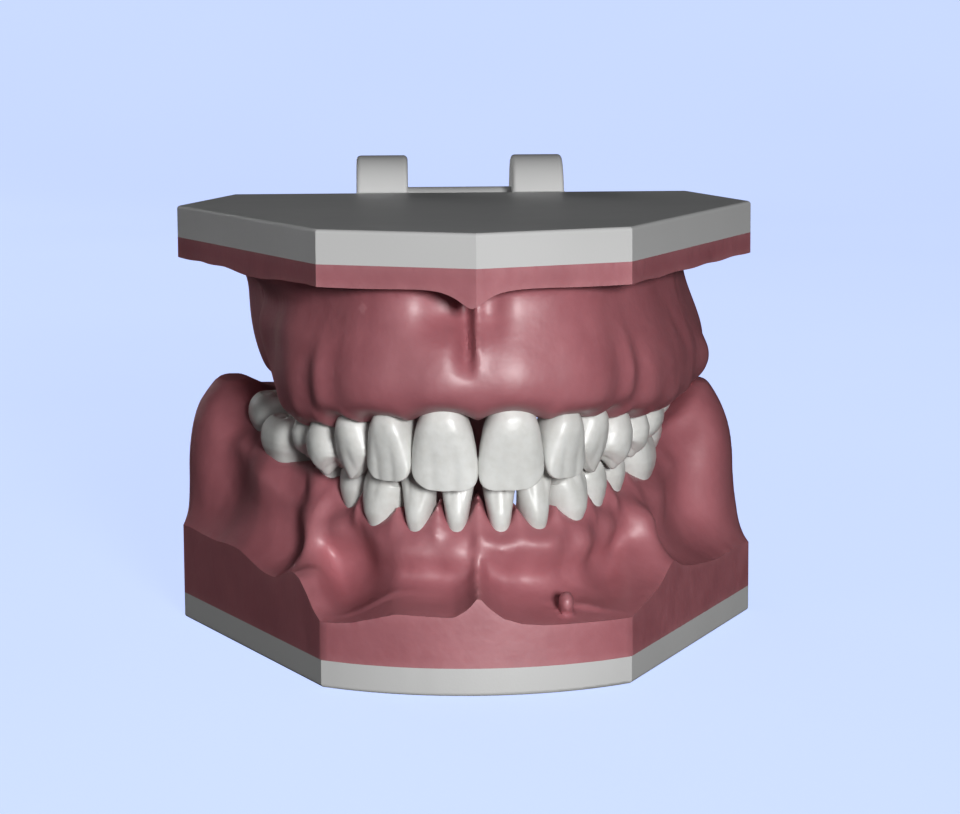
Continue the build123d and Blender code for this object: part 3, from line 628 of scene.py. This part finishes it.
def waves(px, py, z, size, seed):
    """Low soft lumps, the same on every run."""
    count = 5
    total = np.zeros_like(px)
    rng = np.random.default_rng(seed)
    for _ in range(count):
        direction = rng.normal(size=3)
        direction /= np.linalg.norm(direction)
        total = total + np.sin((direction[0] * px + direction[1] * py + direction[2] * z) / size *
                               rng.uniform(0.7, 1.5) + rng.uniform(0, 6.28))
    return total / count


def hump(x, middle, width):
    """Bell curve, 1 at the middle."""
    return np.exp(-((x - middle) / width) ** 2)


def turn_out(x, low, scale):
    """Rises from 0 to 1, steeply at first and levelling off."""
    return 1 - np.exp(-np.maximum(x - low, 0) / scale)


def ball(px, py, z, center, radii):
    """Rough distance outside an ellipsoid."""
    q = np.sqrt(((px - center[0]) / radii[0]) ** 2 + ((py - center[1]) / radii[1]) ** 2 +
                ((z - center[2]) / radii[2]) ** 2)
    return (q - 1) * min(radii)


def dome(px, py, z, center, radii, flare):
    """Rough distance outside an upright column with a rounded top, wider near the plate."""
    grow = 1 + flare * (1 - smooth(z, 8.0, 18.0))
    rise = np.maximum(z - center[2], 0) / radii[2]
    q = np.sqrt(((px - center[0]) / (radii[0] * grow)) ** 2 +
                ((py - center[1]) / (radii[1] * grow)) ** 2 + rise ** 2)
    return (q - 1) * min(radii)


def rod(px, py, z, a, b, radius):
    """Distance outside a round-ended rod."""
    a, b = np.array(a), np.array(b)
    run = b - a
    t = np.clip(((px - a[0]) * run[0] + (py - a[1]) * run[1] + (z - a[2]) * run[2]) /
                (run @ run), 0, 1)
    return np.sqrt((px - a[0] - t * run[0]) ** 2 + (py - a[1] - t * run[1]) ** 2 +
                   (z - a[2] - t * run[2]) ** 2) - radius


plate_low, plate_high = box_mm("upper_plate")
gum_low, gum_high = box_mm("upper_gum")
low_low, low_high = box_mm("lower_gum")
HALF, BACK, POINT, APEX_Y = plate_high[0], plate_high[1], plate_low[1], low_low[1]
CORNER_Y, FRONT_X, FRONT_Y, BACK_X = 7.1, 20.75, -40.15, 35.0    # the plates' trimmed corners
UNDER = gum_high[2]                 # upper gum meets the plate
OVER = low_low[2]                   # lower gum meets its plate
RIM_Z = UNDER - 2.95                # lower edge of the upper block's trimmed faces
SIDES = [(FRONT_X, FRONT_Y), (HALF, CORNER_Y), (BACK_X, BACK), (-BACK_X, BACK),
         (-HALF, CORNER_Y), (-FRONT_X, FRONT_Y)]
ARC_RADIUS = (FRONT_X ** 2 + (FRONT_Y - APEX_Y) ** 2) / (2 * (FRONT_Y - APEX_Y))
FRONT_ARC = (APEX_Y + ARC_RADIUS, ARC_RADIUS)       # the lower block's rounded front
FAR_INSIDE = -50.0                  # distance to the front arc of points that it doesn't trim
# height of the lower block's trimmed edge along its right side, left side and front
RIGHT_RIM = [(-40.15, 8.9), (-38.0, 10.0), (-36.0, 11.8), (-33.5, 13.6), (-31.5, 14.0),
             (-29.0, 12.9), (-26.0, 12.1), (-20.0, 12.0), (-6.0, 12.5), (7.0, 12.6), (31.0, 11.0)]
LEFT_RIM = [(-40.15, 9.0), (-33.0, 10.4), (-24.0, 12.6), (-16.0, 11.3), (-7.0, 10.2), (7.0, 9.5),
            (31.0, 9.5)]
FRONT_RIM = [(-20.75, 8.9), (-16.5, 9.3), (-10.7, 10.8), (-3.2, 10.5), (-1.3, 11.6), (0.1, 13.3),
             (1.6, 11.7), (3.4, 10.3), (6.0, 9.5), (9.0, 9.2), (20.75, 9.0)]


def side_faces(corners):
    """Trimmed upright faces through the corners in turn: outward direction and distance."""
    faces = []
    for a, b in zip(corners, corners[1:]):
        size = np.hypot(b[0] - a[0], b[1] - a[1])
        normal = np.array([(b[1] - a[1]) / size, -(b[0] - a[0]) / size, 0.0])
        faces.append((normal, normal[0] * a[0] + normal[1] * a[1]))
    return faces


def face_gaps(points, planes, arc):
    """Signed distance and direction from each point to each plane and to the arc."""
    gaps = [(points @ normal - offset, np.broadcast_to(normal, points.shape))
            for normal, offset in planes]
    if arc:
        center_y, radius = arc
        away = points - np.array([0.0, center_y, 0.0])
        away[:, 2] = 0.0
        size = np.linalg.norm(away, axis=1)
        gap = np.where(points[:, 1] < FRONT_Y + STEP, size - radius, FAR_INSIDE)
        gaps.append((gap, away / size[:, None]))
    return gaps


def sample(field, origin, points):
    """Value of a grid at each point."""
    q = (points - origin) / STEP
    low = np.clip(np.floor(q).astype(int), 0, np.array(field.shape) - 2)
    t = q - low
    total = np.zeros(len(points))
    for dx in (0, 1):
        for dy in (0, 1):
            for dz in (0, 1):
                weight = (t[:, 0] if dx else 1 - t[:, 0]) * (t[:, 1] if dy else 1 - t[:, 1]) * \
                    (t[:, 2] if dz else 1 - t[:, 2])
                total += weight * field[low[:, 0] + dx, low[:, 1] + dy, low[:, 2] + dz]
    return total


def relaxed(verts, faces):
    """Evens out a quad surface."""
    ends = np.concatenate([faces.ravel(), np.roll(faces, -1, axis=1).ravel()])
    others = np.concatenate([np.roll(faces, -1, axis=1).ravel(), faces.ravel()])
    count = np.bincount(ends, minlength=len(verts))[:, None]
    for _ in range(EVEN_PASSES):
        mean = np.stack([np.bincount(ends, verts[others, k], len(verts)) for k in range(3)], 1)
        verts = verts + EVEN_SHARE * (mean / count - verts)
    return verts


def pulled_flat(verts, near, planes, arc):
    """Puts the points near each trimmed face exactly on it."""
    for axis, mask in enumerate(near):
        gap, direction = face_gaps(verts[mask], planes, arc)[axis]
        verts[mask] -= gap[:, None] * direction


def sharpened(verts, faces, soft, origin, planes, arc=None):
    """Smooths the free surface and sets the trimmed faces and their edges exactly in place."""
    gaps = [np.abs(gap) for gap, _ in face_gaps(verts, planes, arc)]
    trimmed = np.min(gaps, axis=0) < ON_FACE * STEP
    near = [trimmed & (gap < ON_SECOND * STEP) for gap in gaps]
    rim = np.flatnonzero(trimmed & (np.abs(sample(soft, origin, verts)) < ON_EDGE * STEP))
    verts = relaxed(verts, faces)
    probe, stride = 0.3 * STEP, 0.4 * STEP      # reach of the slope's samples, longest move
    for _ in range(EDGE_PASSES):
        pulled_flat(verts, near, planes, arc)
        # move the trimmed faces' edge points onto the free surface
        here = verts[rim]
        value = sample(soft, origin, here)
        slope = np.stack([sample(soft, origin, here + probe * e) -
                          sample(soft, origin, here - probe * e) for e in np.eye(3)], 1)
        slope /= 2 * probe
        size = np.maximum((slope ** 2).sum(axis=1), FLATTEST)
        move = np.clip(value / size, -stride, stride)
        verts[rim] = here - move[:, None] * slope
    pulled_flat(verts, near, planes, arc)
    return verts, faces


def clipped(px, py, z, planes, arc):
    """Distance outside the trimmed block at one level."""
    points = np.column_stack([px.ravel(), py.ravel(), np.full(px.size, z)])
    gaps = [gap for gap, _ in face_gaps(points, planes, arc)]
    return np.max(gaps, axis=0).reshape(px.shape)


INNER = -3.0    # distance out of the mouth at which the palate and the lower hollow take over
LEAN = 0.92     # scale that keeps a leaning wall's field close to a distance


def upper_reach(ridge, px, py, z, crest):
    """How far the upper wall stands out from the arch line at one level."""
    front, side, left, right, back = ridge.front, ridge.side, ridge.left, ridge.right, ridge.back
    h = z - crest
    collar = ridge.collar(h) * (1 - back) + 5.0 * back
    # the wall swells quickly off the teeth in front and on the left, slowly on the right
    level = z - ridge.neck_at
    even = smooth(level, 0.0, 3.0)
    h = h * (1 - even) + (level + 0.7) * even
    quick, slow = turn_out(h, -0.2, 1.5), turn_out(h, -0.4, 3.4)
    reach = collar + quick * (4.3 * front + 5.2 * side * left) + slow * 4.0 * side * right
    reach = reach - (2.4 * front + 3.0 * side * left) * smooth(z, 40.5, 52.5)
    root = (0.8 * front + 0.12 * side) * ridge.swell * np.cos(pi * ridge.phase) * \
        smooth(h, 0.0, 5.0) * (1 - smooth(h, 6.0, 14.0))
    reach = reach + root * (1 - back) + 0.34 * waves(px, py, z, 4.2, 3) * smooth(h, 2, 7)
    # hollows under the block on both sides of the midline and at its right corner
    high = smooth(z, 45.5, 50.5)
    reach = reach - high * front * (2.5 * hump(px, -3.6, 3.6) + 1.0 * hump(px, 2.2, 1.7))
    reach = reach - high * 1.3 * hump(px, -24.0, 5.0) * (py < 0)
    # midline fold: a groove whose left edge stands up
    fold = smooth(z, 41.0, 46.5) * front
    groove = hump(np.minimum(px + 0.9, 0), 0, 1.5) * (1 - smooth(px, -0.75, -0.15))
    reach = reach - 2.3 * fold * groove + 0.45 * fold * hump(px, 0.25, 0.6)
    # lobes of the cheeks and the valleys in front of them
    reach = reach + 1.5 * left * side * hump(py, -1.0, 6.0) * hump(z, 39.2, 3.2)
    reach = reach - 0.2 * left * hump(py, -15.5 - 0.45 * (z - 45), 2.0) * smooth(z, 39, 42) * \
        (1 - smooth(z, 50, 52))
    reach = reach + 1.0 * right * side * hump(py, -11.0, 4.0) * hump(z, 45.5, 4.0)
    return reach - 0.5 * right * side * hump(py, -20.5, 5.0) * smooth(z, 38.5, 44)


def upper_soft(ridge, px, py, z):
    """Free surface of the upper gum at one level, before it is trimmed."""
    d, front, side, back = ridge.d, ridge.front, ridge.side, ridge.back
    papilla = (1.5 * front + 1.0 * side) * ridge.phase ** 2.4
    crest = np.where(d > 0, ridge.neck_at - papilla, ridge.neck_at - 0.6 * papilla - 0.4)
    crest = crest * (1 - back) + (ridge.neck_at - 1.2) * back
    wall = (d - upper_reach(ridge, px, py, z, crest)) * LEAN
    vault = crest + 11.5 * smooth(-d, 2.8, 15.0) + 1.0 * smooth(-d, 12.0, 20.0)
    # palate folds behind the front teeth
    folds = smooth(-py, 8, 16) * smooth(-d, 5, 8) * (1 - smooth(-d, 15, 19))
    vault = vault - 0.35 * folds * np.sin(1.55 * py + 0.08 * np.abs(px))
    shape = soft_max(wall, np.where(d > INNER, (crest - z) * 0.9, (vault - z) * 0.8), 1.1)
    # the block's lower edge, slightly wavy and dipping at the front's midline
    dip = 2.2 * np.exp(-np.abs((px + 0.6) / 2.4) ** 1.5) * smooth(-py, 38.0, 46.5)
    slab = (RIM_Z - dip - 0.07 * np.sin(0.55 * ridge.s + 1.0)) - z
    return soft_min(shape, slab, 1.1 + 5.0 * ridge.right * side + 0.9 * ridge.left * side)


def lower_reach(ridge, px, py, z, crest):
    """How far the lower wall stands out from the arch line at one level."""
    front, side, back = ridge.front, ridge.side, ridge.back
    h = crest - z
    collar = ridge.collar(h) * (1 - back) + 4.6 * back
    level = ridge.neck_at - z
    even = smooth(level, 0.0, 3.0) * (1 - back)
    h = h * (1 - even) + (level + 0.7) * even
    reach = collar + smooth(h, -0.6, 4.5) * (1.5 * front + 2.4 * side)
    reach = reach + side * 4.0 * smooth(h, 7.0, 20.0) - front * 1.3 * smooth(h, 4.0, 8.0)
    root = ridge.swell * np.cos(pi * ridge.phase) * smooth(h, -0.5, 3.0) * \
        (1 - smooth(h, 5.0, 11.0))
    reach = reach + root * (1 - back) + 0.32 * waves(px, py, z, 4.0, 5) * smooth(h, 2, 6)
    # ledge under the left incisors, and the midline fold
    ledge = smooth(px, -1.2, 0.8) * (1 - smooth(px, 10.0, 13.5)) * (py < 0)
    reach = reach + 1.0 * ledge * hump(z, 19.0, 1.5)
    return reach + 0.7 * hump(px, 0.4, 0.75) * (py < 0) * (1 - smooth(z, 15.0, 19.5))


def lower_soft(ridge, px, py, z):
    """Free surface of the lower gum at one level, before it is trimmed."""
    d, front, side, back = ridge.d, ridge.front, ridge.side, ridge.back
    left, right = ridge.left, ridge.right
    papilla = (3.8 * front + 1.6 * side) * ridge.phase ** 2.0
    crest = np.where(d > 0, ridge.neck_at + papilla, ridge.neck_at + 0.9 * papilla + 0.8)
    crest = crest * (1 - back) + (31.0 * left + 32.0 * right) * back
    wall = (d - lower_reach(ridge, px, py, z, crest)) * LEAN
    hollow = crest - (crest - OVER - 5.4) * smooth(-d, 3.0, 11.5)
    top = z - np.where(d > INNER, crest, hollow)
    shape = soft_max(wall, top * np.where(d > INNER, 0.9, 0.75), 1.1)
    # swellings behind and beside the molars
    shape = soft_min(shape, dome(px, py, z, (-34.9, 15.5, 22.0), (6.9, 12.5, 12.9), 0.05), 4.5)
    shape = soft_min(shape, dome(px, py, z, (34.8, 15.0, 21.5), (5.4, 12.0, 12.3), 0.10), 4.5)
    # cheek folds
    shape = soft_min(shape, rod(px, py, z, (-24.2, -30.5, 8.0), (-20.5, -20.0, 26.0), 0.6), 5.5)
    shape = soft_min(shape, rod(px, py, z, (26.6, -25.5, 9.0), (24.0, -21.0, 18.0), 1.3), 5.0)
    # the trimmed block's top sweeps up from its rim to the wall
    across = smooth(np.abs(px), 17.0, 21.5)
    along = np.interp(py, *zip(*LEFT_RIM)) * left + np.interp(py, *zip(*RIGHT_RIM)) * right
    rim = np.interp(px, *zip(*FRONT_RIM)) * (1 - across) + along * across
    inward = -clipped(px, py, z, upright_faces, FRONT_ARC)
    block = (z - rim - 0.30 * np.clip(inward, 0, 6)) * 0.95
    shape = soft_min(shape, block, 4.5)
    # deep hollow on the right, and a small upright nodule in its own hollow on the left
    shape = soft_max(shape, -ball(px, py, z, (-17.0, -36.0, 15.4), (4.0, 7.5, 4.8)), 2.8)
    shape = soft_max(shape, -ball(px, py, z, (11.7, -43.4, 13.2), (1.9, 2.2, 1.7)), 0.7)
    return soft_min(shape, ball(px, py, z, (11.9, -42.0, 11.6), (1.1, 1.9, 1.6)), 0.6)


def gum_surface(ridge, low, high, soft_at, planes, arc=None):
    """Fills a grid with the free surface, trims it and returns the finished quads."""
    origin, (gx, gy, gz) = grid(low, high)
    px, py = np.meshgrid(gx, gy, indexing="ij")
    ridge.place(px, py)
    soft = np.empty((len(gx), len(gy), len(gz)))
    whole = np.empty_like(soft)
    for k, z in enumerate(gz):
        trim = clipped(px, py, z, planes, arc)
        soft[:, :, k] = soft_at(ridge, px, py, z)
        whole[:, :, k] = np.maximum(soft[:, :, k], trim)
    verts, faces = surface_net(whole, origin)
    return sharpened(verts, faces, soft, origin, planes, arc)


def make_gum(name, jaw, surface):
    """Smooth-shaded gum with crisp trimmed edges that stands in for its node."""
    verts, faces = surface
    obj = new_piece(name, verts * MM, faces, f"{jaw}_jaw", GUM)
    # points that met while the surface was moved leave slivers: they are merged
    work = bmesh.new()
    work.from_mesh(obj.data)
    bmesh.ops.remove_doubles(work, verts=work.verts, dist=WELD * STEP * MM)
    bmesh.ops.dissolve_degenerate(work, edges=work.edges, dist=SLIVER * STEP * MM)
    work.to_mesh(obj.data)
    work.free()
    obj.data.set_sharp_from_angle(angle=CREASE)
    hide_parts(f"{jaw}_gum")


TOP, BOTTOM = np.array([0, 0, 1.0]), np.array([0, 0, -1.0])
upright_faces = side_faces(SIDES)
upper_faces = side_faces([*SIDES, (0.0, POINT), SIDES[0]]) + [(TOP, UNDER)]
lower_faces = upright_faces + [(BOTTOM, -OVER), (TOP, low_high[2])]
make_gum("upper_gum_surface", "upper", gum_surface(
    Ridge("upper", [(-23.4, 31.0), (-23.4, 22.0), (-22.8, 11.0)],
          [(25.4, 11.0), (25.6, 22.0), (25.6, 31.0)]),
    gum_low, gum_high, upper_soft, upper_faces))
make_gum("lower_gum_surface", "lower", gum_surface(
    Ridge("lower", [(-31.5, 27.0), (-30.0, 18.0), (-28.4, 9.5)],
          [(27.6, 9.5), (29.5, 18.0), (31.0, 27.0)]),
    low_low, low_high, lower_soft, lower_faces, FRONT_ARC))


# ------------------------------------------------------------------ floor, light and camera
def floor():
    """Pale floor that curves up into a backdrop well behind the object."""
    half, start, radius = 8.0, 0.9, 0.5     # half size, and where and how tightly it curves up
    profile = [(-half, 0.0), (start, 0.0)]
    profile += [(start + radius * sin(a), radius - radius * cos(a))
                for a in np.linspace(0.1, pi / 2, 14)]
    profile.append((start + radius, 1.6))
    verts = [(x, y, z) for y, z in profile for x in (-half, half)]
    faces = [(2 * k, 2 * k + 1, 2 * k + 3, 2 * k + 2) for k in range(len(profile) - 1)]
    mesh = bpy.data.meshes.new("floor")
    mesh.from_pydata(verts, [], faces)
    mesh.shade_smooth()
    obj = bpy.data.objects.new("floor", mesh)
    bpy.context.scene.collection.objects.link(obj)
    mat, tree, shader, at = material("pale_floor")
    cloud = noise(tree, at, 3, 2)
    color = ramp(tree, cloud, [(0.3, (0.545, 0.645, 0.985)), (0.7, (0.56, 0.66, 1.0))])
    tree.links.new(mix(tree, 0.8, color, (0.0, 0.0, 0.0)), shader.inputs["Base Color"])
    tree.links.new(color, shader.inputs["Emission Color"])
    shader.inputs["Emission Strength"].default_value = 0.90
    shader.inputs["Roughness"].default_value = 0.9
    mesh.materials.append(mat)
    obj.visible_diffuse = False
    obj.visible_glossy = False


def area_light(name, place, target, size, power):
    """Round lamp that shines from a place towards a target."""
    data = bpy.data.lights.new(name, "AREA")
    data.shape = "DISK"
    data.size = size
    data.energy = power
    obj = bpy.data.objects.new(name, data)
    obj.location = place
    obj.rotation_euler = (Vector(target) - Vector(place)).to_track_quat("-Z", "Y").to_euler()
    bpy.context.scene.collection.objects.link(obj)
    return obj


floor()
area_light("key", (0.225, -1.0, 0.235), (0.0, 0.0, 0.035), size=0.22, power=8.8)
area_light("fill", (-0.60, -0.80, 0.25), (0.0, 0.0, 0.03), size=0.7, power=0.9)
back_light = area_light("back", (-0.45, 1.0, 0.12), (0.0, 0.0, 0.035), size=0.5, power=0.9)
back_light.data.spread = radians(50)    # keeps it off the backdrop
back_light.visible_glossy = False       # no glare along the plate's top
world = bpy.data.worlds.new("studio")
world.use_nodes = True
background = world.node_tree.nodes["Background"]
background.inputs["Color"].default_value = (0.80, 0.87, 1.0, 1.0)
background.inputs["Strength"].default_value = 0.025
bpy.context.scene.world = world
bpy.context.scene.view_settings.view_transform = "Standard"
bpy.context.scene.view_settings.look = "Medium High Contrast"


def aim_camera(place, yaw, pitch, roll, lens):
    """Camera looking along +Y, turned by yaw, then pitch, then roll, in degrees."""
    turn = Matrix.Rotation(radians(roll), 3, "Y") @ Matrix.Rotation(radians(pitch), 3, "X") @ \
        Matrix.Rotation(radians(yaw), 3, "Z")
    right, ahead, up = turn.col[0], turn.col[1], turn.col[2]
    data = bpy.data.cameras.new("camera")
    data.lens = lens
    data.sensor_width = 36.0
    data.clip_start = 0.01
    obj = bpy.data.objects.new("camera", data)
    basis = Matrix((right, up, -ahead)).transposed().to_4x4()
    obj.matrix_world = Matrix.Translation(Vector(place)) @ basis
    bpy.context.scene.collection.objects.link(obj)
    bpy.context.scene.camera = obj


aim_camera(place=(-0.0111, -0.4319, 0.0914), yaw=-1.78, pitch=-7.81, roll=0.58, lens=112.5)
